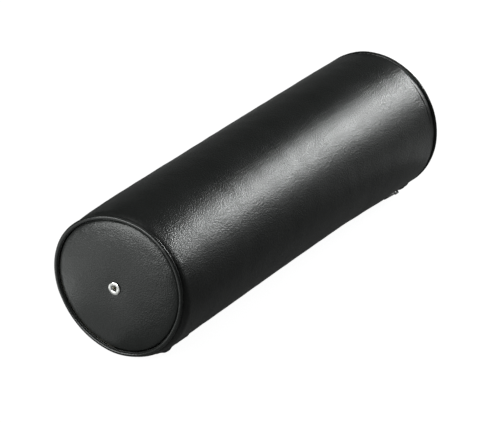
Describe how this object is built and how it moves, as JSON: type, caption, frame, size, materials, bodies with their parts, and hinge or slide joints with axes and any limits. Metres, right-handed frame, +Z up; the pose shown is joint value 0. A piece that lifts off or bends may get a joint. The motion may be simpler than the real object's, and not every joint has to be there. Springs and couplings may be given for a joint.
{
  "type": "round massage bolster",
  "caption": "Long round bolster cushion in a piped, zipped black vinyl cover, with a vent eyelet in each domed end.",
  "frame": {"origin": "on the surface the bolster lies on, under the middle of its length", "axes": "+X along the bolster towards the end where the closed zip's slider is parked, +Z up, zip on the -Y side of the underside"},
  "size_m": [0.672, 0.201, 0.1998],
  "materials": {
    "cover_vinyl": "satin, fine leather grain",
    "piping_vinyl": "smooth semi-gloss",
    "foam": "open-cell foam, matt",
    "wadding": "fluffy, matt",
    "cotton_cord": "twisted, matt",
    "thread": "bonded polyester, slight sheen",
    "eyelet_metal": "polished nickel plate",
    "zip_tape": "woven polyester, matt",
    "zip_coil": "satin nylon",
    "zip_metal": "black enamel, semi-gloss"
  },
  "bodies": {
    "bolster": {"foam_core": "foam", "wadding_wrap": "wadding", "body_cover": "cover_vinyl", "left_end_cap": "cover_vinyl", "right_end_cap": "cover_vinyl", "left_piping_cover": "piping_vinyl", "right_piping_cover": "piping_vinyl", "left_piping_cord": "cotton_cord", "right_piping_cord": "cotton_cord", "left_seam_thread": "thread", "right_seam_thread": "thread", "left_eyelet": "eyelet_metal", "right_eyelet": "eyelet_metal", "left_eyelet_washer": "eyelet_metal", "right_eyelet_washer": "eyelet_metal", "zip_tape_upper": "zip_tape", "zip_tape_lower": "zip_tape", "zip_coil_upper": "zip_coil", "zip_coil_lower": "zip_coil", "zip_top_stops": "zip_metal", "zip_bottom_stop": "zip_metal", "left_zip_end_tab": "cover_vinyl", "right_zip_end_tab": "cover_vinyl", "zip_topstitch": "thread"},
    "slider": {"zip_slider": "zip_metal"},
    "pull": {"zip_pull_tab": "zip_metal"}
  },
  "joints": [
    {"name": "zip_slide", "type": "slide", "parent": "bolster", "child": "slider", "axis": [1, 0, 0], "range_m": [-0.545, 0], "deforming": ["zip_tape_upper", "zip_tape_lower", "zip_coil_upper", "zip_coil_lower"]},
    {"name": "pull_tab_hinge", "type": "hinge", "parent": "slider", "child": "pull", "pos_m": [0.292, -0.06195, 0.01403], "axis": [0, -0.809, 0.5878], "range_deg": [0, 170]}
  ]
}
